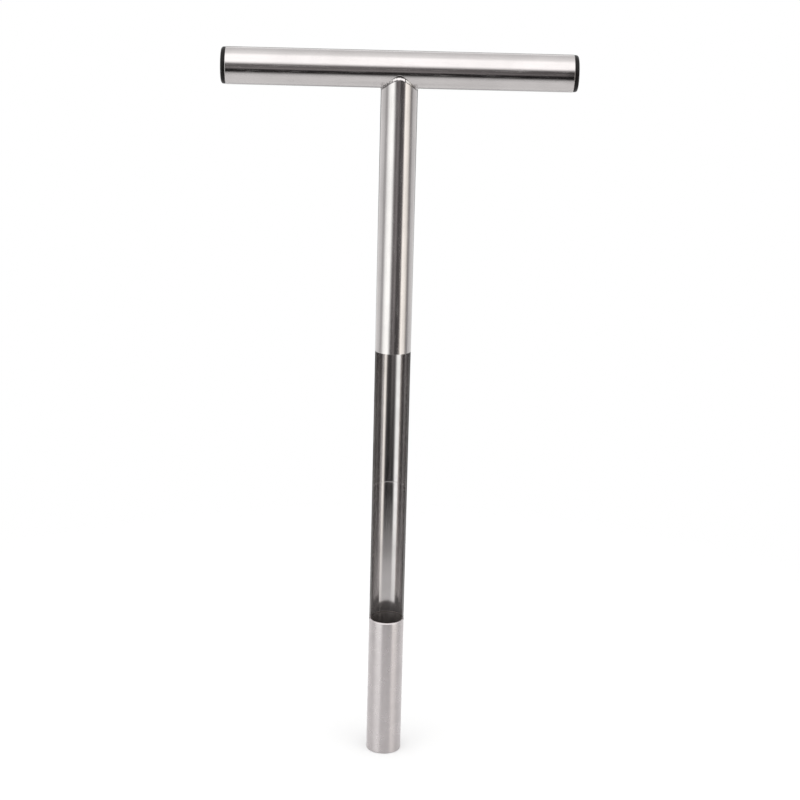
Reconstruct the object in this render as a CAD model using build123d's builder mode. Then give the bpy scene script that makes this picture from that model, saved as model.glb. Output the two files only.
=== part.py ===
"""Soil sampling probe with a T-handle: a steel tube, cut open on one side, that a person pushes into soil.

Millimetres, +Z up, the handle along X and the open side of the tube towards -Y. The origin is the centre of
the cutting mouth, so Z is the height above the ground that the probe stands on.
"""

import os
from math import cos, radians, sin, sqrt

from build123d import *

# Heights above the cutting edge
HANDLE_AXIS_Z = 497.0
WINDOW_TOP_Z = 302.5
DEPTH_MARK_Z = 202.5
TIP_TOP_Z = 102.5

# Handle: a straight tube across the top, with a plastic plug in each end
HANDLE_OD = 25.0
HANDLE_WALL = 1.2
HANDLE_LENGTH = 234.0
HANDLE_EDGE = 0.25

# Plug: a domed head on a hollow stem whose ribs grip the bore
PLUG_HEAD_D = 24.6
PLUG_HEAD_T = 3.5
PLUG_CROWN_RISE = 0.4
PLUG_FLAT_R = 6.0
PLUG_SHOULDER_R = 2.0
PLUG_STEM_D = 21.4
PLUG_STEM_LENGTH = 15.0
PLUG_STEM_BORE_D = 17.6
PLUG_STEM_BORE_LENGTH = 14.0
PLUG_RIB_COUNT = 3
PLUG_RIB_PITCH = 4.2
PLUG_RIB_FIRST = 3.0
PLUG_RIB_WIDTH = 1.2
PLUG_RIB_LAP = 0.2

# Probe tube: closed above the window, half a tube beside it
TUBE_OD = 25.0
TUBE_WALL = 1.2
COPE_GAP = 1.6
MARK_DEPTH = 0.12
MARK_WIDTH = 0.8

# Butt joint between the half tube and the cutting tip
ROOT_GAP = 0.3
BEVEL = 0.7
WELD_CROWN = 0.05
ROOT_BEAD = 0.25
ROOT_BEAD_RISE = 0.3

# Cutting tip: thicker wall than the tube, bevelled inside to an edge near the outside
TIP_OD = 25.2
TIP_BORE_D = 21.8
TIP_THROAT_TOP_Z = 45.0
TIP_RELIEF_Z = 52.0
TIP_BEVEL_HEIGHT = 5.0
TIP_EDGE_CHAMFER = 0.25
TIP_EDGE_CHAMFER_HEIGHT = 0.4
TIP_EDGE_LAND = 0.3

# Saddle weld between the handle and the probe tube: a hollow below the handle, a ramp out to the tube's edge
SADDLE_FRONT_REACH = 12.05
SADDLE_SIDE_REACH = 13.9
SADDLE_FRONT_RISE = 26.0
SADDLE_EDGE_RAISE = 0.25
SADDLE_LAP = 0.25
SADDLE_ROOT_R = 11.0
SADDLE_HANDLE_EMBED = 0.15
SADDLE_TUBE_EMBED = 0.03
SADDLE_SIDE_POWER = 3
SADDLE_STEP = 15

# Degrees in half a turn, and halfway round a quarter-circle shoulder
HALF_TURN = 180
SHOULDER_MIDDLE = 45

# How far a cutter runs past the material it removes
CUT_MARGIN = 1.0

handle_r = HANDLE_OD / 2
handle_bore_r = handle_r - HANDLE_WALL
tube_r = TUBE_OD / 2
bore_r = tube_r - TUBE_WALL
cope_r = handle_r + COPE_GAP
tip_r = TIP_OD / 2
tip_bore_r = TIP_BORE_D / 2
tube_bottom_z = TIP_TOP_Z + ROOT_GAP

os.makedirs("parts", exist_ok=True)


def drop_to(surface_r, reach, theta):
    """Depth below the handle axis of a cylinder of surface_r along X, at a reach and a bearing from Z."""
    return sqrt(surface_r**2 - (reach * sin(radians(theta))) ** 2)


def keep(solid, node):
    """Label one finished piece and write it."""
    solid.label = node
    export_step(solid, f"parts/{node}.step")


# Handle tube, its end edges broken lightly
with BuildPart() as handle_tube:
    with BuildSketch(Plane.YZ.offset(-HANDLE_LENGTH / 2)):
        with Locations((0, HANDLE_AXIS_Z)):
            Circle(handle_r)
            Circle(handle_bore_r, mode=Mode.SUBTRACT)
    extrude(amount=HANDLE_LENGTH)
    end_faces = handle_tube.faces().filter_by(Plane.YZ)
    outer_edges = end_faces.edges().group_by(SortBy.RADIUS)[-1]
    chamfer(outer_edges, HANDLE_EDGE)
keep(handle_tube.part, "handle_tube")


def build_plug(inward, node):
    """One end plug, turned about the handle's axis. inward is 1 or -1, the way its stem points along X."""
    face_x = -inward * HANDLE_LENGTH / 2
    crown_x = face_x - inward * PLUG_HEAD_T
    rim_x = crown_x + inward * PLUG_CROWN_RISE
    side_x = rim_x + inward * PLUG_SHOULDER_R
    stem_end_x = face_x + inward * PLUG_STEM_LENGTH
    head_r = PLUG_HEAD_D / 2
    stem_r = PLUG_STEM_D / 2
    shoulder_z = HANDLE_AXIS_Z + head_r - PLUG_SHOULDER_R
    shoulder_turn = PLUG_SHOULDER_R * cos(radians(SHOULDER_MIDDLE))
    with BuildPart() as plug:
        with BuildSketch(Plane.XZ):
            with BuildLine():
                Line((crown_x, HANDLE_AXIS_Z), (crown_x, HANDLE_AXIS_Z + PLUG_FLAT_R))
                Line((crown_x, HANDLE_AXIS_Z + PLUG_FLAT_R), (rim_x, shoulder_z))
                ThreePointArc(
                    (rim_x, shoulder_z),
                    (side_x - inward * shoulder_turn, shoulder_z + shoulder_turn),
                    (side_x, HANDLE_AXIS_Z + head_r),
                )
                Polyline(
                    (side_x, HANDLE_AXIS_Z + head_r),
                    (face_x, HANDLE_AXIS_Z + head_r),
                    (face_x, HANDLE_AXIS_Z + stem_r),
                    (stem_end_x, HANDLE_AXIS_Z + stem_r),
                    (stem_end_x, HANDLE_AXIS_Z),
                    (crown_x, HANDLE_AXIS_Z),
                )
            make_face()
        revolve(axis=Axis((0, 0, HANDLE_AXIS_Z), (1, 0, 0)))
        for rib in range(PLUG_RIB_COUNT):
            rib_x = face_x + inward * (PLUG_RIB_FIRST + rib * PLUG_RIB_PITCH)
            with BuildSketch(Plane.YZ.offset(rib_x)):
                with Locations((0, HANDLE_AXIS_Z)):
                    Circle(handle_bore_r)
                    Circle(stem_r - PLUG_RIB_LAP, mode=Mode.SUBTRACT)
            extrude(amount=PLUG_RIB_WIDTH / 2, both=True)
        with BuildSketch(Plane.YZ.offset(stem_end_x)):
            with Locations((0, HANDLE_AXIS_Z)):
                Circle(PLUG_STEM_BORE_D / 2)
        extrude(amount=-inward * PLUG_STEM_BORE_LENGTH, mode=Mode.SUBTRACT)
    keep(plug.part, node)


build_plug(1, "end_plug_left")
build_plug(-1, "end_plug_right")

# Probe tube: coped to the handle, half cut away beside the window, bevelled where the tip joins it
with BuildPart() as probe_tube:
    with BuildSketch(Plane.XY.offset(tube_bottom_z)):
        Circle(tube_r)
        Circle(bore_r, mode=Mode.SUBTRACT)
    extrude(amount=HANDLE_AXIS_Z - tube_bottom_z)
    with BuildSketch(Plane.YZ.offset(-TUBE_OD)):
        with Locations((0, HANDLE_AXIS_Z)):
            Circle(cope_r)
    extrude(amount=2 * TUBE_OD, mode=Mode.SUBTRACT)
    with BuildSketch(Plane.XZ):
        with BuildLine():
            Polyline(
                (tube_r - BEVEL, tube_bottom_z),
                (tube_r, tube_bottom_z + BEVEL),
                (tube_r + CUT_MARGIN, tube_bottom_z + BEVEL),
                (tube_r + CUT_MARGIN, tube_bottom_z - CUT_MARGIN),
                (tube_r - BEVEL, tube_bottom_z - CUT_MARGIN),
                close=True,
            )
        make_face()
    revolve(axis=Axis.Z, mode=Mode.SUBTRACT)
    with BuildSketch(Plane.XY.offset(DEPTH_MARK_Z - MARK_WIDTH / 2)):
        Circle(bore_r + MARK_DEPTH)
        Circle(bore_r - CUT_MARGIN, mode=Mode.SUBTRACT)
    extrude(amount=MARK_WIDTH, mode=Mode.SUBTRACT)
    with BuildSketch(Plane.XY.offset(tube_bottom_z - CUT_MARGIN)):
        Rectangle(2 * TUBE_OD, TUBE_OD, align=(Align.CENTER, Align.MAX))
    extrude(amount=WINDOW_TOP_Z - tube_bottom_z + CUT_MARGIN, mode=Mode.SUBTRACT)
keep(probe_tube.part, "probe_tube")

# Cutting tip
with BuildPart() as cutting_tip:
    with BuildSketch(Plane.XZ):
        with BuildLine():
            Polyline(
                (tip_r - TIP_EDGE_CHAMFER, 0),
                (tip_r, TIP_EDGE_CHAMFER_HEIGHT),
                (tip_r, TIP_TOP_Z - BEVEL),
                (tip_r - BEVEL, TIP_TOP_Z),
                (bore_r, TIP_TOP_Z),
                (bore_r, TIP_RELIEF_Z),
                (tip_bore_r, TIP_THROAT_TOP_Z),
                (tip_bore_r, TIP_BEVEL_HEIGHT),
                (tip_r - TIP_EDGE_CHAMFER - TIP_EDGE_LAND, 0),
                close=True,
            )
        make_face()
    revolve(axis=Axis.Z)
keep(cutting_tip.part, "cutting_tip")

# Butt weld: fills the groove round the closed back half, with a low bead at its root
with BuildPart() as tip_weld:
    with BuildSketch(Plane.XZ):
        with BuildLine():
            ThreePointArc(
                (tip_r, TIP_TOP_Z - BEVEL),
                (tip_r + WELD_CROWN, TIP_TOP_Z + ROOT_GAP / 2),
                (tube_r, tube_bottom_z + BEVEL),
            )
            Polyline(
                (tube_r, tube_bottom_z + BEVEL),
                (tube_r - BEVEL, tube_bottom_z),
                (bore_r, tube_bottom_z),
                (bore_r, tube_bottom_z + ROOT_BEAD_RISE),
            )
            ThreePointArc(
                (bore_r, tube_bottom_z + ROOT_BEAD_RISE),
                (bore_r - ROOT_BEAD, TIP_TOP_Z + ROOT_GAP / 2),
                (bore_r, TIP_TOP_Z - ROOT_BEAD_RISE),
            )
            Polyline(
                (bore_r, TIP_TOP_Z - ROOT_BEAD_RISE),
                (bore_r, TIP_TOP_Z),
                (tip_r - BEVEL, TIP_TOP_Z),
                (tip_r, TIP_TOP_Z - BEVEL),
            )
        make_face()
    revolve(axis=Axis.Z, revolution_arc=HALF_TURN)
keep(tip_weld.part, "tip_weld")


def saddle_section(theta):
    """Corners of the saddle weld's section at one bearing: reach from Z, and drop below the handle axis.

    The hollow leaves the handle along its surface and meets the tube's edge on a slope that faces upward
    at the front and is upright at the sides.
    """
    front_share = sin(radians(theta)) ** 2
    side_share = (1 - front_share) ** SADDLE_SIDE_POWER
    embedded_r = handle_r - SADDLE_HANDLE_EMBED
    valley_reach = SADDLE_FRONT_REACH + (SADDLE_SIDE_REACH - SADDLE_FRONT_REACH) * side_share
    valley = Vector(valley_reach, drop_to(embedded_r, valley_reach, theta))
    tangent = Vector(-1, valley.X * front_share / valley.Y).normalized()
    edge_drop = drop_to(cope_r, tube_r, theta) + SADDLE_LAP - SADDLE_EDGE_RAISE * front_share
    edge = Vector(tube_r - SADDLE_TUBE_EMBED, edge_drop)
    slope = radians(SADDLE_FRONT_RISE * front_share)
    upward = Vector(-sin(slope), -cos(slope))
    span = edge - valley
    along = (span.X * upward.Y - span.Y * upward.X) / (tangent.X * upward.Y - tangent.Y * upward.X)
    bend = valley + tangent * along
    middle = valley / 4 + bend / 2 + edge / 4
    root_lower = Vector(SADDLE_ROOT_R, drop_to(cope_r, SADDLE_ROOT_R, theta) + SADDLE_LAP)
    root_upper = Vector(SADDLE_ROOT_R, drop_to(handle_r, SADDLE_ROOT_R, theta) - SADDLE_HANDLE_EMBED)
    return valley, middle, edge, root_lower, root_upper


# Saddle weld: a half ring lofted round the front of the tube, mirrored to the back, trimmed by both tubes
with BuildPart() as handle_weld:
    for bearing in range(0, HALF_TURN + 1, SADDLE_STEP):
        outward = Vector(cos(radians(bearing)), -sin(radians(bearing)), 0)
        facing = outward.cross(Vector(0, 0, -1))
        section_plane = Plane(origin=(0, 0, HANDLE_AXIS_Z), x_dir=outward, z_dir=facing)
        valley, middle, edge, root_lower, root_upper = saddle_section(bearing)
        with BuildSketch(section_plane):
            with BuildLine():
                ThreePointArc(valley, middle, edge)
                Polyline(edge, root_lower, root_upper, valley)
            make_face()
    loft()
    mirror(about=Plane.XZ)
    with BuildSketch(Plane.YZ.offset(-2 * TUBE_OD)):
        with Locations((0, HANDLE_AXIS_Z)):
            Circle(handle_r)
    extrude(amount=4 * TUBE_OD, mode=Mode.SUBTRACT)
    add(probe_tube.part, mode=Mode.SUBTRACT)
keep(handle_weld.part, "handle_weld")
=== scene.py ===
"""Soil sampler with a T-handle: polished steel tubes, a satin cutting tip and black end plugs.

Metres, +Z up, the handle along X and the sampling window facing -Y.
"""

from math import cos, pi, radians, sin, sqrt, tan

import bpy
from mathutils import Matrix, Vector, noise


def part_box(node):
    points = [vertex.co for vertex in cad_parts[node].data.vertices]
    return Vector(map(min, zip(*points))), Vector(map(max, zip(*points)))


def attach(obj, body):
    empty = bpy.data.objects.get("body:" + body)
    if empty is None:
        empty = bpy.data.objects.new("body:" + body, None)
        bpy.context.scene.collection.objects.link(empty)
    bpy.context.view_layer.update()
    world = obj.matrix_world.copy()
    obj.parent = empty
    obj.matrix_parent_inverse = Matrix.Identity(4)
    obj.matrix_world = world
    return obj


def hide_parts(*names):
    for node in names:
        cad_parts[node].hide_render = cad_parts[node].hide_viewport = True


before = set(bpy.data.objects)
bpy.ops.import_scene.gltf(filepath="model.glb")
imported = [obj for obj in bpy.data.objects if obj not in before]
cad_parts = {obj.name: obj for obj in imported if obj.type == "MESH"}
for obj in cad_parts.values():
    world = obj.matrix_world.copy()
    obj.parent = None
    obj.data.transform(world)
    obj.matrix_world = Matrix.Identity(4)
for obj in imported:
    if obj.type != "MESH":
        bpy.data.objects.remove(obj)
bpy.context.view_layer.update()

MM = 0.001

# ---------------------------------------------------------------- sizes, taken from the frame
handle_low, handle_high = (Vector(corner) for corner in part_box("handle_tube"))
plug_low, _ = (Vector(corner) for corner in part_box("end_plug_left"))
probe_low, probe_high = (Vector(corner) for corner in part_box("probe_tube"))
tip_low, tip_high = (Vector(corner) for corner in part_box("cutting_tip"))

HANDLE_Z = (handle_low.z + handle_high.z) / 2
HANDLE_R = (handle_high.z - handle_low.z) / 2
HANDLE_HALF = handle_high.x
PLUG_CROWN = -plug_low.x - HANDLE_HALF
TUBE_R = probe_high.x
TUBE_BOTTOM = probe_low.z
TIP_R = tip_high.x
TIP_TOP = tip_high.z

# ---------------------------------------------------------------- sizes that the frame's boxes don't give
WALL = 1.2 * MM
HANDLE_BORE = HANDLE_R - WALL
BORE = TUBE_R - WALL
TIP_BORE = 10.9 * MM
WINDOW_TOP = 302.5 * MM
DEPTH_MARK = 202.5 * MM
BEVEL = 0.7 * MM
ROOT_GAP = 0.3 * MM
COPE_R = HANDLE_R + 1.6 * MM

CUT_EDGE_BREAK = 0.14 * MM

ROUND_STEPS = 192
SHARP_DEG = 32

# Kinds of face on the probe tube and on the saddle weld, which are also their material slots
OUTSIDE, INSIDE, CUT = range(3)
# The weld's dark kind paints shade along its toes and beside its facet, with a few dark patches; its facet
# and skirt kinds are painted lighter as highlights.
GROUND, SHADE_AND_PATCHES, SKIRT, HIGHLIGHT_FACET = range(4)


# ---------------------------------------------------------------- mesh helpers
def mesh_object(name, verts, faces):
    """A smooth-shaded object, with its creases kept sharp."""
    mesh = bpy.data.meshes.new(name)
    mesh.from_pydata([tuple(v) for v in verts], [], faces)
    mesh.validate()
    mesh.update()
    mesh.shade_smooth()
    mesh.set_sharp_from_angle(angle=radians(SHARP_DEG))
    obj = bpy.data.objects.new(name, mesh)
    bpy.context.scene.collection.objects.link(obj)
    return obj


def soften(obj, width):
    """Breaks every sharp edge with a small round."""
    bevel = obj.modifiers.new("edge_break", "BEVEL")
    bevel.width = width
    bevel.segments = 2
    bevel.limit_method = "ANGLE"
    bevel.angle_limit = radians(SHARP_DEG)
    bevel.harden_normals = True
    bevel.use_clamp_overlap = True


def around_z(radius, angle, height):
    """A point at a radius, a bearing from +X and a height, about the probe's axis."""
    return Vector((radius * cos(angle), radius * sin(angle), height))


def around_handle(radius, angle, x):
    """A point at a radius, a bearing from +Y and a place along X, about the handle's axis."""
    return Vector((x, radius * cos(angle), HANDLE_Z + radius * sin(angle)))


def lathe(name, profile, place, steps=ROUND_STEPS, arc=2 * pi, wobble=None):
    """Turns a closed profile of (radius, height) pairs, where a point of radius 0 becomes one pole.

    place sets the axis. An arc of less than a full turn gets a flat face at each end.
    """
    full = arc == 2 * pi
    columns = steps if full else steps + 1
    verts = []
    rings = []
    for radius, height in profile:
        if radius == 0:
            rings.append([len(verts)] * columns)
            verts.append(place(0, 0, height))
            continue
        ring = []
        for column in range(columns):
            angle = arc * column / steps
            shift = wobble(angle, radius, height) if wobble else 0
            ring.append(len(verts))
            verts.append(place(radius + shift, angle, height))
        rings.append(ring)
    faces = []
    for row in range(len(profile)):
        lower, upper = rings[row], rings[(row + 1) % len(profile)]
        if lower[0] == lower[-1] and upper[0] == upper[-1]:
            continue
        for column in range(steps):
            after = (column + 1) % columns
            quad = [lower[column], lower[after], upper[after], upper[column]]
            faces.append(list(dict.fromkeys(quad)))
    if not full:
        faces.append([ring[0] for ring in rings])
        faces.append([ring[-1] for ring in reversed(rings)])
    return mesh_object(name, verts, faces)


def rounded(corner, start, end, radius):
    """Points of a fillet at a profile's corner between two neighbours."""
    steps = 5
    corner, start, end = Vector(corner), Vector(start), Vector(end)
    a = (start - corner).normalized()
    b = (end - corner).normalized()
    half = a.angle(b) / 2
    cut = radius / tan(half)
    centre = corner + (a + b).normalized() * radius / sin(half)
    first = corner + a * cut - centre
    last = corner + b * cut - centre
    turn = first.angle(last)
    points = []
    for step in range(steps + 1):
        t = step / steps
        offset = (first * sin((1 - t) * turn) + last * sin(t * turn)) / sin(turn)
        points.append(tuple(centre + offset))
    return points


def fillet_profile(corners):
    """A closed profile from (radius, height, fillet) corners."""
    points = []
    for index, (r, h, fillet) in enumerate(corners):
        if fillet == 0:
            points.append((r, h))
            continue
        before = corners[index - 1][:2]
        after = corners[(index + 1) % len(corners)][:2]
        points.extend(rounded((r, h), before, after, fillet))
    return points


def split_long(profile, longest):
    """Adds points to a profile's long runs."""
    points = []
    for index, here in enumerate(profile):
        after = profile[(index + 1) % len(profile)]
        span = sqrt((after[0] - here[0]) ** 2 + (after[1] - here[1]) ** 2)
        pieces = max(1, round(span / longest))
        for piece in range(pieces):
            t = piece / pieces
            points.append((here[0] + (after[0] - here[0]) * t, here[1] + (after[1] - here[1]) * t))
    return points


# ---------------------------------------------------------------- pieces
def handle_tube():
    """The cross tube, its ends faced off and lightly broken."""
    outer_edge = 0.35 * MM
    inner_edge = outer_edge / 2
    longest_face = 6 * MM
    corners = [
        (HANDLE_R, -HANDLE_HALF, outer_edge),
        (HANDLE_R, HANDLE_HALF, outer_edge),
        (HANDLE_BORE, HANDLE_HALF, inner_edge),
        (HANDLE_BORE, -HANDLE_HALF, inner_edge),
    ]
    profile = split_long(fillet_profile(corners), longest_face)
    return lathe("handle_tube_steel", profile, around_handle)


def end_plug(name, side):
    """A pressed-in plug: a domed head on a hollow, ribbed stem. side is -1 at the left and 1 at the right."""
    head_r = 12.3 * MM
    dome = 0.5 * MM
    shoulder = 1.8 * MM
    lip = 0.12 * MM
    stem_r = 10.7 * MM
    stem_length = 15 * MM
    hollow_r = 8.8 * MM
    hollow_floor = 1 * MM
    rib_first = 3 * MM
    rib_pitch = 4.2 * MM
    rib_foot = 0.6 * MM
    rib_tip = 0.25 * MM
    curve_steps = 8
    face = side * HANDLE_HALF
    crown = side * (HANDLE_HALF + PLUG_CROWN)
    flat_r = head_r - shoulder
    outline = [(0, crown)]
    for step in range(1, curve_steps + 1):
        r = flat_r * step / curve_steps
        outline.append((r, crown - side * dome * (r / flat_r) ** 2))
    for step in range(1, curve_steps + 1):
        turn = pi / 2 * step / curve_steps
        sunk = dome + shoulder * (1 - cos(turn))
        outline.append((flat_r + shoulder * sin(turn), crown - side * sunk))
    outline.append((head_r, face + side * lip))
    outline.append((head_r - lip, face))
    outline.append((stem_r, face))
    for rib in range(3):
        middle = face - side * (rib_first + rib_pitch * rib)
        outline.append((stem_r, middle + side * rib_foot))
        outline.append((HANDLE_BORE, middle + side * rib_tip))
        outline.append((HANDLE_BORE, middle - side * rib_tip))
        outline.append((stem_r, middle - side * rib_foot))
    stem_end = face - side * stem_length
    hollow_end = face - side * hollow_floor
    outline.append((stem_r, stem_end))
    outline.append((hollow_r, stem_end))
    outline.append((hollow_r, hollow_end))
    outline.append((0, hollow_end))
    if side > 0:
        outline.reverse()
    return lathe(name, outline, around_handle, steps=128)


def cut_edge_wear(height, side):
    """How far the window's sawn edge is worn back at a height, in metres. side is 1 at +X and -1 at -X."""
    wave = noise.noise(Vector((height * 60, side * 7.0, 0)))
    fine = noise.noise(Vector((height * 420, side * 3.0, 5)))
    back = 0.03 + 0.03 * wave + 0.02 * fine
    if side < 0:
        nicks_middle = 0.235
        nicks_reach = 0.042
        share = max(0.0, 1 - abs(height - nicks_middle) / nicks_reach) ** 0.5
        nick = max(0.0, noise.noise(Vector((height * 230, 11, 2))) - 0.05)
        back += 0.9 * share * nick
    deepest = 0.3
    return min(max(0.0, back), deepest) * MM


def probe_tube():
    """Coped tube, half cut away beside the window, with a groove scribed round its inside.

    Returns the object and each face's kind. The open half's columns run from 0 at +X, through the back, to
    half at -X.
    """
    half = ROUND_STEPS // 2
    groove = 0.03 * MM
    window_rise = 1.25 * MM
    upper_rise = 6 * MM
    clear_of_mark = 1.2 * MM
    clear_of_window = 0.2 * MM
    clear_of_cope = 1 * MM
    sunk_under_weld = 0.02 * MM
    lower = [TUBE_BOTTOM + BEVEL]
    while lower[-1] + window_rise < WINDOW_TOP - clear_of_window:
        lower.append(lower[-1] + window_rise)
    lower = [z for z in lower if abs(z - DEPTH_MARK) > clear_of_mark]
    marks = [(-0.8, 0), (-0.4, 0), (-0.2, groove), (0.2, groove), (0.4, 0), (0.8, 0)]
    rows = [(z, 0) for z in lower] + [(DEPTH_MARK + at * MM, deep) for at, deep in marks]
    rows.sort()
    upper = [WINDOW_TOP]
    while upper[-1] + upper_rise < HANDLE_Z - COPE_R - clear_of_cope:
        upper.append(upper[-1] + upper_rise)
    verts = []

    def add(v):
        verts.append(v)
        return len(verts) - 1

    def cope(radius, angle):
        return HANDLE_Z - sqrt(COPE_R**2 - (radius * sin(angle)) ** 2) - sunk_under_weld

    def bearing(column):
        return 2 * pi * column / ROUND_STEPS

    def open_row(radius, z):
        """A row of the open half, its two ends worn back."""
        row = []
        for c in range(half + 1):
            point = around_z(radius, bearing(c), z)
            if c == 0:
                point.y += cut_edge_wear(z, 1)
            elif c == half:
                point.y += cut_edge_wear(z, -1)
            row.append(add(point))
        return row

    outer, inner = [], []
    for z, deep in rows:
        outer.append(open_row(TUBE_R, z))
        inner.append(open_row(BORE + deep, z))
    ring_outer, ring_inner = [], []
    for z in upper:
        ring_outer.append([add(around_z(TUBE_R, bearing(c), z)) for c in range(ROUND_STEPS)])
        ring_inner.append([add(around_z(BORE, bearing(c), z)) for c in range(ROUND_STEPS)])
    for radius, rings in ((TUBE_R, ring_outer), (BORE, ring_inner)):
        angles = [bearing(c) for c in range(ROUND_STEPS)]
        rings.append([add(around_z(radius, angle, cope(radius, angle))) for angle in angles])
    foot_outer = open_row(TUBE_R - BEVEL, TUBE_BOTTOM)
    foot_inner = open_row(BORE, TUBE_BOTTOM)

    faces = []
    kinds = []

    def face(kind, *corners):
        faces.append(corners)
        kinds.append(kind)

    outer_rows = [foot_outer] + outer + [ring_outer[0][: half + 1]]
    inner_rows = [foot_inner] + inner + [ring_inner[0][: half + 1]]
    for low, high in zip(outer_rows, outer_rows[1:]):
        for c in range(half):
            face(OUTSIDE, low[c], low[c + 1], high[c + 1], high[c])
    for low, high in zip(inner_rows, inner_rows[1:]):
        for c in range(half):
            face(INSIDE, low[c + 1], low[c], high[c], high[c + 1])
    for c in range(half):
        face(CUT, foot_outer[c + 1], foot_outer[c], foot_inner[c], foot_inner[c + 1])
    for row in range(len(outer_rows) - 1):
        low_out, high_out = outer_rows[row], outer_rows[row + 1]
        low_in, high_in = inner_rows[row], inner_rows[row + 1]
        face(CUT, low_out[0], high_out[0], high_in[0], low_in[0])
        face(CUT, high_out[half], low_out[half], low_in[half], high_in[half])
    for c in range(half, ROUND_STEPS):
        after = (c + 1) % ROUND_STEPS
        face(CUT, ring_outer[0][after], ring_outer[0][c], ring_inner[0][c], ring_inner[0][after])
    for low, high in zip(ring_outer, ring_outer[1:]):
        for c in range(ROUND_STEPS):
            after = (c + 1) % ROUND_STEPS
            face(OUTSIDE, low[c], low[after], high[after], high[c])
    for low, high in zip(ring_inner, ring_inner[1:]):
        for c in range(ROUND_STEPS):
            after = (c + 1) % ROUND_STEPS
            face(INSIDE, high[c], high[after], low[after], low[c])
    for c in range(ROUND_STEPS):
        after = (c + 1) % ROUND_STEPS
        face(CUT, ring_outer[-1][c], ring_outer[-1][after], ring_inner[-1][after], ring_inner[-1][c])
    return mesh_object("probe_tube_steel", verts, faces), kinds


def cutting_tip():
    """Turned tip: bevelled rim above, throat, and an inside bevel down to the cutting edge."""
    edge_chamfer = 0.25 * MM
    edge_land = 0.3 * MM
    throat_top = 45 * MM
    relief = 52 * MM
    bevel_top = 5 * MM
    longest_face = 4 * MM
    corners = [
        (TIP_R - edge_chamfer, 0, 0),
        (TIP_R, 0.4 * MM, 0.2 * MM),
        (TIP_R, TIP_TOP - BEVEL, 0.25 * MM),
        (TIP_R - BEVEL, TIP_TOP, 0.15 * MM),
        (BORE, TIP_TOP, 0.12 * MM),
        (BORE, relief, 0),
        (TIP_BORE, throat_top, 0),
        (TIP_BORE, bevel_top, 0),
        (TIP_R - edge_chamfer - edge_land, 0, 0),
    ]
    profile = split_long(fillet_profile(corners), longest_face)
    return lathe("cutting_tip_steel", profile, around_z)


def weld_ripple(angle, height):
    """Low ripples left by the bead, in metres."""
    beads = sin(angle * 70 + 2.5 * noise.noise(Vector((cos(angle) * 2, sin(angle) * 2, 3))))
    patches = noise.noise(Vector((cos(angle) * 9, sin(angle) * 9, height * 900)))
    return (0.01 * beads + 0.045 * patches) * MM


def tip_weld():
    """Butt weld round the closed back half of the joint, with a low bead at its root."""
    crown = 0.04 * MM
    root_height = 0.12 * MM
    root_half = 0.45 * MM
    curve_steps = 8
    middle = TIP_TOP + ROOT_GAP / 2
    width = 2 * BEVEL + ROOT_GAP
    outline = []
    for step in range(curve_steps + 1):
        t = step / curve_steps
        r = TIP_R + (TUBE_R - TIP_R) * t + crown * sin(pi * t)
        outline.append((r, TIP_TOP - BEVEL + width * t))
    outline.append((TUBE_R - BEVEL, TUBE_BOTTOM))
    outline.append((BORE, TUBE_BOTTOM))
    for step in range(curve_steps + 1):
        turn = pi * step / curve_steps
        outline.append((BORE - root_height * sin(turn), middle + root_half * cos(turn)))
    outline.append((BORE, TIP_TOP))
    outline.append((TIP_R - BEVEL, TIP_TOP))
    crown_from = TIP_R - 0.2 * MM
    bead_from = BORE - 0.05 * MM

    def wobble(angle, radius, height):
        free = radius > crown_from or radius < bead_from
        return weld_ripple(angle, height) if free else 0

    return lathe("tip_weld_steel", outline, around_z, steps=ROUND_STEPS // 2, arc=pi, wobble=wobble)


def weld_finish(angle, t):
    """Which finish and painted light the saddle weld has at share t of its hollow, counted from its skirt on
    the handle.
    """
    # The skirt on the handle, ground rougher and painted lighter as a highlight.
    if t < 0:
        return SKIRT
    grain = noise.noise(Vector((cos(angle) * 13, sin(angle) * 13, t * 2.5)))
    # Painted shade: a dark line along the weld's toes, at the handle and at the tube's edge.
    at_margin = t < 0.11 + 0.14 * grain or t > 0.94 + 0.05 * grain
    in_patch = sin(angle) < 0 and cos(angle) < -0.3 and grain > 0.08
    # Painted shade: a narrow dark line on the right front, beside the bright facet.
    dark_line_at = radians(-71)
    past_dark_line = (angle - dark_line_at + pi) % (2 * pi) - pi
    in_dark_line = abs(past_dark_line) < radians(2) and t < 0.9
    if at_margin or in_patch or in_dark_line:
        return SHADE_AND_PATCHES
    # Painted highlight: a pale stroke on the right front, where a ground facet catches the light.
    in_highlight_facet = 0 < past_dark_line < radians(20) and 0.42 < t < 0.88
    return HIGHLIGHT_FACET if in_highlight_facet else GROUND


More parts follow.
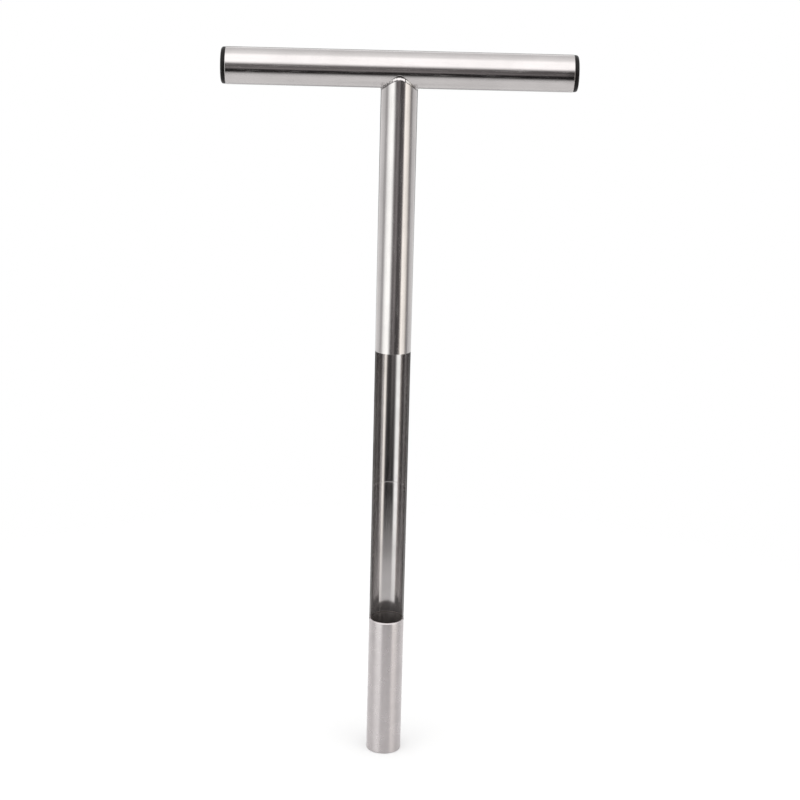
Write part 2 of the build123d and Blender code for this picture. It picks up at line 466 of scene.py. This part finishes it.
def handle_weld():
    """Saddle weld: a thin ground skirt on the handle, a hollow below it and a ramp out to the tube's edge.

    The section at each bearing is a list of (reach from the probe's axis, drop below the handle's axis).
    """
    steps = 384
    skirt_points = 4
    hollow_points = 16
    tightness = 2.2
    front_slope = 26
    skirt = 0.02 * MM
    front_reach = 12.05 * MM
    side_extra = 1.85 * MM
    toe_front = 0.13 * MM
    toe_side = 0.85 * MM
    edge_out = 0.015 * MM
    edge_in = 0.03 * MM
    edge_drop = 0.1 * MM
    edge_raise = 0.25 * MM
    lap = 0.25 * MM
    root = 11.0 * MM
    verts = []
    rows = []
    for step in range(steps):
        angle = 2 * pi * step / steps
        share = sin(angle) ** 2
        aside = (1 - share) ** 3

        def drop(radius, reach):
            return sqrt(radius**2 - (reach * sin(angle)) ** 2)

        valley_reach = front_reach + side_extra * aside
        toe_reach = valley_reach + toe_front + toe_side * (1 - share) ** 2
        valley = Vector((valley_reach, drop(HANDLE_R + skirt, valley_reach)))
        edge = Vector((TUBE_R + edge_out, drop(COPE_R, TUBE_R) - edge_raise * share))
        tangent = Vector((-1, valley.x * share / valley.y)).normalized()
        slope = radians(front_slope * share)
        upward = Vector((-sin(slope), -cos(slope)))
        bend = valley + tangent * ((edge - valley).cross(upward) / tangent.cross(upward))
        row = [(toe_reach, drop(HANDLE_R - skirt, toe_reach))]
        for k in range(1, skirt_points):
            reach = toe_reach + (valley_reach - toe_reach) * k / skirt_points
            row.append((reach, drop(HANDLE_R + skirt, reach)))
        rough = 0.5 + 3.0 * max(0.0, -cos(angle - 0.4))
        for k in range(hollow_points + 1):
            t = k / hollow_points
            pull = 2 * tightness * t * (1 - t)
            point = (valley * (1 - t) ** 2 + bend * pull + edge * t**2) / ((1 - t) ** 2 + pull + t**2)
            ripple = weld_ripple(angle, t * 0.004) * rough * sin(pi * t) ** 0.7
            row.append((point.x + ripple * 0.7, point.y - ripple * 0.7))
        row.append((TUBE_R - edge_in, edge.y + edge_drop + lap))
        row.append((root, drop(COPE_R, root) + lap))
        row.append((root, drop(HANDLE_R, root) - lap))
        indices = []
        for reach, depth in row:
            indices.append(len(verts))
            verts.append(around_z(reach, angle, HANDLE_Z - depth))
        rows.append(indices)
    faces = []
    kinds = []
    count = len(rows[0])
    for step in range(steps):
        here, after = rows[step], rows[(step + 1) % steps]
        for k in range(count):
            following = (k + 1) % count
            faces.append((here[k], here[following], after[following], after[k]))
            kinds.append(weld_finish(2 * pi * (step + 0.5) / steps, (k - skirt_points) / hollow_points))
    return mesh_object("handle_weld_steel", verts, faces), kinds


# ---------------------------------------------------------------- material helpers
class Nodes:
    """Short calls for building a node tree."""

    def __init__(self, tree):
        self.tree = tree

    def new(self, kind, **settings):
        node = self.tree.nodes.new(kind)
        for key, value in settings.items():
            setattr(node, key, value)
        return node

    def link(self, source, target):
        self.tree.links.new(source, target)

    def feed(self, socket, value):
        if isinstance(value, bpy.types.NodeSocket):
            self.link(value, socket)
        else:
            socket.default_value = value

    def math(self, operation, *values):
        node = self.new("ShaderNodeMath", operation=operation)
        for socket, value in zip(node.inputs, values):
            self.feed(socket, value)
        return node.outputs[0]

    def linear(self, value, low, high, out_low=0.0, out_high=1.0, curve="LINEAR"):
        """Maps low..high to out_low..out_high, held at its ends."""
        node = self.new("ShaderNodeMapRange", interpolation_type=curve)
        self.feed(node.inputs["Value"], value)
        node.inputs["From Min"].default_value = low
        node.inputs["From Max"].default_value = high
        node.inputs["To Min"].default_value = out_low
        node.inputs["To Max"].default_value = out_high
        return node.outputs[0]

    def smooth(self, value, low, high, out_low=0.0, out_high=1.0):
        """The same with an S-shaped curve."""
        return self.linear(value, low, high, out_low, out_high, "SMOOTHSTEP")

    def ramp(self, value, stops):
        """A colour ramp through (position, colour) stops."""
        node = self.new("ShaderNodeValToRGB")
        elements = node.color_ramp.elements
        while len(elements) < len(stops):
            elements.new(0.5)
        for element, (position, colour) in zip(elements, sorted(stops, key=lambda s: s[0])):
            element.position = position
            element.color = (*colour, 1.0)
        self.feed(node.inputs[0], value)
        return node.outputs[0]

    def mix(self, factor, a, b, blend="MIX"):
        node = self.new("ShaderNodeMix", data_type="RGBA", blend_type=blend)
        self.feed(node.inputs[0], factor)
        self.feed(node.inputs[6], a)
        self.feed(node.inputs[7], b)
        return node.outputs[2]

    def noise(self, coords, scale, detail=3.0, rough=0.5):
        node = self.new("ShaderNodeTexNoise")
        self.link(coords, node.inputs["Vector"])
        node.inputs["Scale"].default_value = scale
        node.inputs["Detail"].default_value = detail
        node.inputs["Roughness"].default_value = rough
        return node.outputs[0]

    def stretched(self, scale):
        """Object coordinates scaled along each axis."""
        coords = self.new("ShaderNodeTexCoord")
        mapping = self.new("ShaderNodeMapping")
        mapping.inputs["Scale"].default_value = scale
        self.link(coords.outputs["Object"], mapping.inputs["Vector"])
        return mapping.outputs[0]

    def bump(self, height, distance, strength=1.0, normal=None):
        node = self.new("ShaderNodeBump")
        node.inputs["Strength"].default_value = strength
        node.inputs["Distance"].default_value = distance
        self.link(height, node.inputs["Height"])
        if normal is not None:
            self.link(normal, node.inputs["Normal"])
        return node.outputs[0]


def material(name):
    """A new material, its node helper and its main shader."""
    mat = bpy.data.materials.new(name)
    mat.use_nodes = True
    shader = mat.node_tree.nodes["Principled BSDF"]
    return mat, Nodes(mat.node_tree), shader


def steel(name, colour, rough, along, wave=0.003, lines=0.0006, stain=0.08, scatter=0.25, band=None):
    """Polished stainless steel, with clouds, rare pits, and fine lines along one axis, x or z.

    rough is the clean metal's roughness, and scatter is what its hazy lines add. wave and lines are the
    heights of two bumps, in centimetres and in millimetres. stain is how much darker the clouds are. band,
    where given, returns an extra roughness and the cover of a dull film.
    """
    mat, n, shader = material(name)
    shader.inputs["Metallic"].default_value = 1.0
    stretch = {"x": (0.012, 1, 1), "z": (1, 1, 0.012)}[along]
    pit_colour = (0.12, 0.11, 0.1, 1)
    drawn = n.stretched(stretch)
    plain = n.stretched((1, 1, 1))
    fine = n.noise(drawn, 3800, 4, 0.65)
    broad = n.noise(drawn, 700, 3, 0.6)
    clouds = n.noise(plain, 38, 4, 0.55)
    pits = n.new("ShaderNodeTexVoronoi")
    pits.inputs["Scale"].default_value = 210
    n.link(plain, pits.inputs["Vector"])
    pit_mask = n.smooth(pits.outputs["Distance"], 0.035, 0.085, 1.0, 0.0)
    rare = n.smooth(n.noise(plain, 55, 1, 0.5), 0.56, 0.66)
    pit = n.math("MULTIPLY", pit_mask, rare)
    dark = tuple(c * (1 - stain) for c in colour)
    tone = n.mix(n.smooth(clouds, 0.35, 0.72), (*colour, 1), (*dark, 1))
    streak_colour = (*(c * 0.8 for c in colour), 1)
    tone = n.mix(n.math("MULTIPLY", n.smooth(broad, 0.35, 0.7), 0.12), tone, streak_colour)
    tone = n.mix(n.math("MULTIPLY", pit, 0.6), tone, pit_colour)
    n.link(tone, shader.inputs["Base Color"])
    roughness = n.math("ADD", rough, n.math("MULTIPLY", n.smooth(clouds, 0.3, 0.8), rough * 0.5))
    haze = n.math("MULTIPLY", n.smooth(fine, 0.50, 0.68), scatter)
    roughness = n.math("ADD", roughness, haze)
    if band:
        extra, film = band(n, plain)
        roughness = n.math("ADD", roughness, extra)
        n.link(n.math("SUBTRACT", 1.0, film), shader.inputs["Metallic"])
    n.link(roughness, shader.inputs["Roughness"])
    waves = n.bump(n.noise(drawn, 140, 1, 0.4), wave * MM * 10)
    scratched = n.bump(fine, lines * MM, 1.0, waves)
    n.link(n.bump(broad, lines * MM * 2, 1.0, scratched), shader.inputs["Normal"])
    return mat


def satin_steel(name, colour, rough):
    """Turned and blasted steel: fine grain, faint rings round Z and a few dark specks."""
    mat, n, shader = material(name)
    shader.inputs["Metallic"].default_value = 1.0
    shader.inputs["Anisotropic"].default_value = 0.85
    shader.inputs["Anisotropic Rotation"].default_value = 0.25
    tangent = n.new("ShaderNodeTangent", direction_type="RADIAL", axis="Z")
    n.link(tangent.outputs[0], shader.inputs["Tangent"])
    speck_colour = (0.16, 0.14, 0.13, 1)
    plain = n.stretched((1, 1, 1))
    turned = n.stretched((0.05, 0.05, 1))
    grain = n.noise(plain, 2600, 3, 0.6)
    rings = n.noise(turned, 1500, 2, 0.5)
    clouds = n.noise(plain, 90, 4, 0.6)
    specks = n.new("ShaderNodeTexVoronoi")
    specks.inputs["Scale"].default_value = 120
    n.link(plain, specks.inputs["Vector"])
    speck = n.smooth(specks.outputs["Distance"], 0.03, 0.075, 1.0, 0.0)
    rare = n.smooth(n.noise(plain, 33, 1, 0.5), 0.44, 0.5)
    speck = n.math("MULTIPLY", speck, rare)
    dark = tuple(c * 0.93 for c in colour)
    tone = n.mix(n.smooth(clouds, 0.3, 0.75), (*colour, 1), (*dark, 1))
    tone = n.mix(n.math("MULTIPLY", speck, 0.65), tone, speck_colour)
    n.link(tone, shader.inputs["Base Color"])
    roughness = n.math("ADD", rough, n.math("MULTIPLY", n.smooth(clouds, 0.3, 0.8), 0.07))
    n.link(roughness, shader.inputs["Roughness"])
    turned_bump = n.bump(rings, 0.0006 * MM)
    n.link(n.bump(grain, 0.0003 * MM, 1.0, turned_bump), shader.inputs["Normal"])
    return mat


def black_plastic(name):
    """Moulded black plastic with a faint orange-peel surface and light scuffs."""
    mat, n, shader = material(name)
    plain = n.stretched((1, 1, 1))
    peel = n.noise(plain, 900, 2, 0.5)
    scuffs = n.noise(n.stretched((1, 0.2, 1)), 420, 5, 0.7)
    shader.inputs["Specular IOR Level"].default_value = 0.15
    clean = (0.006, 0.005, 0.005, 1)
    scuffed = (0.016, 0.014, 0.014, 1)
    tone = n.mix(n.smooth(scuffs, 0.5, 0.8), clean, scuffed)
    n.link(tone, shader.inputs["Base Color"])
    n.link(n.smooth(scuffs, 0.3, 0.8, 0.3, 0.5), shader.inputs["Roughness"])
    n.link(n.bump(peel, 0.01 * MM), shader.inputs["Normal"])
    return mat


# ---------------------------------------------------------------- local finishes
def inside_haze(n, coords):
    """Extra roughness inside the tube, and how much of it a dull film covers.

    The film is thick at the foot, thinner on the side walls, and scratched bright along the scribed mark.
    """
    place = n.new("ShaderNodeSeparateXYZ")
    n.link(coords, place.inputs[0])
    z = place.outputs["Z"]
    soiled = n.smooth(z, TIP_TOP + 4 * MM, TIP_TOP + 24 * MM, 1.0, 0.0)
    edge = n.smooth(n.math("ABSOLUTE", place.outputs["X"]), 0.62 * BORE, 0.9 * BORE)
    off_mark = n.math("ABSOLUTE", n.math("SUBTRACT", z, DEPTH_MARK))
    line = n.smooth(off_mark, 0.3 * MM, 1.3 * MM, 1.0, 0.0)
    worn = n.math("MULTIPLY", line, n.smooth(n.noise(coords, 260, 2, 0.5), 0.38, 0.6, 0.15, 0.8))
    edge = n.math("MULTIPLY", edge, n.math("SUBTRACT", 1.0, n.math("MULTIPLY", soiled, 0.85)))
    haze = n.math("ADD", n.math("MULTIPLY", soiled, 0.05), n.math("MULTIPLY", edge, 0.14))
    haze = n.math("ADD", haze, n.math("MULTIPLY", worn, 0.04))
    film = n.math("ADD", n.math("MULTIPLY", soiled, 0.13), n.math("MULTIPLY", worn, 0.045))
    return haze, n.math("ADD", film, n.math("MULTIPLY", edge, 0.1))


def bore_film(n, coords):
    """The same dull film in the tip's bore, thickest at its top."""
    place = n.new("ShaderNodeSeparateXYZ")
    n.link(coords, place.inputs[0])
    return 0.0, n.smooth(place.outputs["Z"], TIP_TOP - 14 * MM, TIP_TOP, 0.03, 0.1)


def root_glints(n, coords):
    """A few bright spatters on the dark root bead."""
    spots = n.smooth(n.noise(coords, 420, 1, 0.5), 0.55, 0.62)
    return n.math("MULTIPLY", spots, -0.3), n.math("MULTIPLY", spots, 0.6)


# ---------------------------------------------------------------- materials
STEEL = (0.592, 0.563, 0.558)
# Painted shade: the handle is the tube's own steel, its colour painted 7% darker.
shaded_polished_x = steel("polished_steel_handle", tuple(0.93 * c for c in STEEL), 0.085, "x")
polished_z = steel("polished_steel_tube", STEEL, 0.085, "z")
inside_z = steel("tube_inside", (0.52, 0.495, 0.492), 0.1, "z", stain=0.12, scatter=0.1, band=inside_haze)
cut_steel = steel("sawn_edge", (0.36, 0.35, 0.345), 0.28, "z", lines=0.004, stain=0.35)
weld_steel = steel("ground_weld", STEEL, 0.1, "x", wave=0.01, lines=0.002, stain=0.15)
# Dark steel that paints shade along the weld's toes and beside its facet, and gives a few dark patches on its
# front left.
shade_and_patch_steel = steel("weld_painted_shade_and_dark_patches", (0.13, 0.12, 0.12), 0.2, "x", lines=0.002, stain=0.3)
# The skirt is ground rougher, and its colour is painted a tenth lighter than the steel as a highlight along
# the weld's toe.
skirt_highlight_steel = steel("weld_skirt_painted_highlight", tuple(1.1 * c for c in STEEL), 0.26, "x", lines=0.002)
# Painted highlight: a pale, rough steel for the bright stroke on the weld's facet.
highlight_facet_steel = steel("ground_facet_painted_highlight", (0.8, 0.785, 0.76), 0.42, "x", lines=0.002, stain=0.1)
root_steel = steel(
    "weld_root", (0.19, 0.17, 0.16), 0.42, "x", wave=0.02, lines=0.004, stain=0.4, band=root_glints
)
bore_steel = steel("tip_bore", (0.42, 0.385, 0.375), 0.25, "z", stain=0.3, scatter=0.4, band=bore_film)
satin = satin_steel("satin_steel", (0.54, 0.504, 0.505), 0.26)
plastic = black_plastic("black_plastic")


# ---------------------------------------------------------------- build
def finish_piece(obj, mats, node):
    """Gives a piece its materials, hangs it under the root body, and hides the CAD part that it stands for.
    """
    for mat in mats:
        obj.data.materials.append(mat)
    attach(obj, "root")
    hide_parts(node)


def paint_faces(obj, kinds):
    """Gives each face the material slot that its kind names."""
    for polygon, kind in zip(obj.data.polygons, kinds):
        polygon.material_index = kind


def mark_inside(obj):
    """Gives the faces inside the bore the piece's second material."""
    reach = BORE + 0.05 * MM
    for polygon in obj.data.polygons:
        if polygon.center.xy.length < reach:
            polygon.material_index = INSIDE


finish_piece(handle_tube(), [shaded_polished_x], "handle_tube")
tube, tube_kinds = probe_tube()
finish_piece(tube, [polished_z, inside_z, cut_steel], "probe_tube")
paint_faces(tube, tube_kinds)
soften(tube, CUT_EDGE_BREAK)
tip = cutting_tip()
finish_piece(tip, [satin, bore_steel], "cutting_tip")
mark_inside(tip)
joint = tip_weld()
finish_piece(joint, [weld_steel, root_steel], "tip_weld")
mark_inside(joint)
saddle, saddle_kinds = handle_weld()
finish_piece(saddle, [weld_steel, shade_and_patch_steel, skirt_highlight_steel, highlight_facet_steel], "handle_weld")
paint_faces(saddle, saddle_kinds)
finish_piece(end_plug("end_plug_left_cap", -1), [plastic], "end_plug_left")
finish_piece(end_plug("end_plug_right_cap", 1), [plastic], "end_plug_right")


# ---------------------------------------------------------------- floor
def floor():
    """A pale round floor that fades out, so its shadow and reflection are near the object only."""
    rings = (0.05, 0.12, 0.2, 0.3, 0.4, 0.5, 0.6, 0.75)
    count = 96
    below_foot = 0.2 * MM
    fade_from = 0.25
    fade_to = 0.6
    cover = 0.8
    verts = [Vector((0, 0, 0))]
    faces = []
    for radius in rings:
        verts.extend(around_z(radius, 2 * pi * c / count, 0) for c in range(count))
    for c in range(count):
        faces.append((0, 1 + c, 1 + (c + 1) % count))
    for ring in range(len(rings) - 1):
        low, high = 1 + count * ring, 1 + count * (ring + 1)
        for c in range(count):
            after = (c + 1) % count
            faces.append((low + c, high + c, high + after, low + after))
    obj = mesh_object("floor", verts, faces)
    obj.location.z = -below_foot
    mat, n, shader = material("pale_floor")
    shader.inputs["Base Color"].default_value = (0.8, 0.8, 0.8, 1)
    shader.inputs["Roughness"].default_value = 0.9
    shader.inputs["Specular IOR Level"].default_value = 0.1
    coords = n.new("ShaderNodeTexCoord")
    length = n.new("ShaderNodeVectorMath", operation="LENGTH")
    n.link(coords.outputs["Object"], length.inputs[0])
    n.link(n.smooth(length.outputs["Value"], fade_from, fade_to, cover, 0.0), shader.inputs["Alpha"])
    obj.data.materials.append(mat)


floor()


# ---------------------------------------------------------------- light
def studio():
    """Soft light from the left, the right and above, a dark gap in front and a light-grey surround.

    Two ramps give the light by direction, in degrees. sides goes by bearing from the front, for low
    directions. tops goes by the angle up and over from the front, for high ones. The camera sees plain white.
    """
    world = bpy.data.worlds.new("studio")
    bpy.context.scene.world = world
    world.use_nodes = True
    n = Nodes(world.node_tree)
    back = world.node_tree.nodes["Background"]
    coords = n.new("ShaderNodeTexCoord")
    split = n.new("ShaderNodeSeparateXYZ")
    n.link(coords.outputs["Generated"], split.inputs[0])
    x, y, z = split.outputs
    degrees = 180 / pi
    strength = 2.0
    front = n.math("MULTIPLY", y, -1.0)
    elevation = n.math("MULTIPLY", n.math("ARCSINE", z), degrees)
    bearing = n.math("MULTIPLY", n.math("ARCTAN2", x, front), degrees)
    bearing = n.math("MULTIPLY", bearing, n.linear(elevation, -18, -4, 0.9, 1.07))
    over = n.math("MULTIPLY", n.math("ARCTAN2", z, front), degrees)

    def grey(value, tint=(1.0, 1.0, 1.0)):
        """A light of this brightness, as the colour that the background's strength brings back to it."""
        return tuple(value * t / strength for t in tint)

    def by_direction(angle, stops):
        """A ramp over -180 to 180 degrees."""
        shares = [((deg + 180) / 360, colour) for deg, colour in stops]
        return n.ramp(n.linear(angle, -180, 180), shares)

    warm = (1.0, 0.975, 0.92)
    cool = (0.975, 1.0, 0.985)
    dim = (1.0, 0.94, 0.945)
    sides = [
        (-180, grey(0.10)),
        (-165, grey(0.14)),
        (-153, grey(1.05)),
        (-116, grey(0.88)),
        (-104, grey(0.83)),
        (-95, grey(0.62)),
        (-84, grey(0.50)),
        (-76, grey(0.84)),
        (-69, grey(1.25, cool)),
        (-62, grey(1.55, cool)),
        (-48, grey(1.80, cool)),
        (-36, grey(1.80, cool)),
        (-29, grey(1.25, cool)),
        (-24, grey(0.66)),
        (-17, grey(0.23, dim)),
        (-10, grey(0.24, dim)),
        (0, grey(0.34, dim)),
        (9, grey(0.13, dim)),
        (16, grey(0.11, dim)),
        (29, grey(0.16, dim)),
        (35, grey(0.26, dim)),
        (39, grey(0.9, warm)),
        (45, grey(1.75, warm)),
        (52, grey(1.6, warm)),
        (69, grey(1.22, warm)),
        (77, grey(0.70, warm)),
        (85, grey(0.32, dim)),
        (95, grey(0.44)),
        (106, grey(0.80)),
        (153, grey(0.95)),
        (165, grey(0.14)),
        (180, grey(0.10)),
    ]
    tops = [
        (-180, grey(0.83)),
        (0, grey(1.9)),
        (72, grey(1.9)),
        (86, grey(1.36)),
        (100, grey(1.2)),
        (122, grey(0.98)),
        (142, grey(0.95)),
        (153, grey(1.6)),
        (168, grey(1.6)),
        (180, grey(0.83)),
    ]
    side_light = by_direction(bearing, sides)
    top_light = by_direction(over, tops)
    in_gap = n.math(
        "MULTIPLY",
        n.smooth(bearing, -34, -18),
        n.smooth(bearing, 26, 40, 1.0, 0.0),
    )
    sunk = n.math(
        "ADD",
        n.smooth(elevation, -18, -11, 0.89, 0.0),
        n.smooth(elevation, -7.5, -3, 0.0, 0.28),
    )
    keep = n.math("SUBTRACT", 1.0, n.math("MULTIPLY", in_gap, sunk))
    side_light = n.mix(1.0, side_light, keep, "MULTIPLY")
    side_light = n.mix(n.smooth(elevation, -48, -30, 1.0, 0.0), side_light, (*grey(0.78), 1))
    surround = n.mix(n.smooth(elevation, 10, 32), side_light, top_light)
    path = n.new("ShaderNodeLightPath")
    seen = n.mix(path.outputs["Is Camera Ray"], surround, (*grey(1.0), 1))
    n.link(seen, back.inputs["Color"])
    back.inputs["Strength"].default_value = strength


studio()


# ---------------------------------------------------------------- camera
def camera():
    """Above and in front of the tool, pitched down and turned slightly."""
    data = bpy.data.cameras.new("camera")
    data.sensor_width = 36
    data.lens = 79.55
    data.clip_start = 0.05
    obj = bpy.data.objects.new("camera", data)
    bpy.context.scene.collection.objects.link(obj)
    yaw, pitch, roll = radians(0.83), radians(14.85), radians(1.48)
    forward = Vector((sin(yaw) * cos(pitch), cos(yaw) * cos(pitch), -sin(pitch)))
    level = Vector((cos(yaw), -sin(yaw), 0))
    upright = level.cross(forward)
    right = level * cos(roll) + upright * sin(roll)
    up = upright * cos(roll) - level * sin(roll)
    turn = Matrix((right, up, -forward)).transposed()
    place = Vector((-11.65 * MM, -1206.9 * MM, HANDLE_Z + 89.9 * MM))
    obj.matrix_world = Matrix.Translation(place) @ turn.to_4x4()
    bpy.context.scene.camera = obj


camera()
bpy.context.scene.view_settings.view_transform = "Standard"


# ---------------------------------------------------------------- size
def plain(box):
    """A box as plain lists of numbers."""
    return [[float(value) for value in corner] for corner in box]
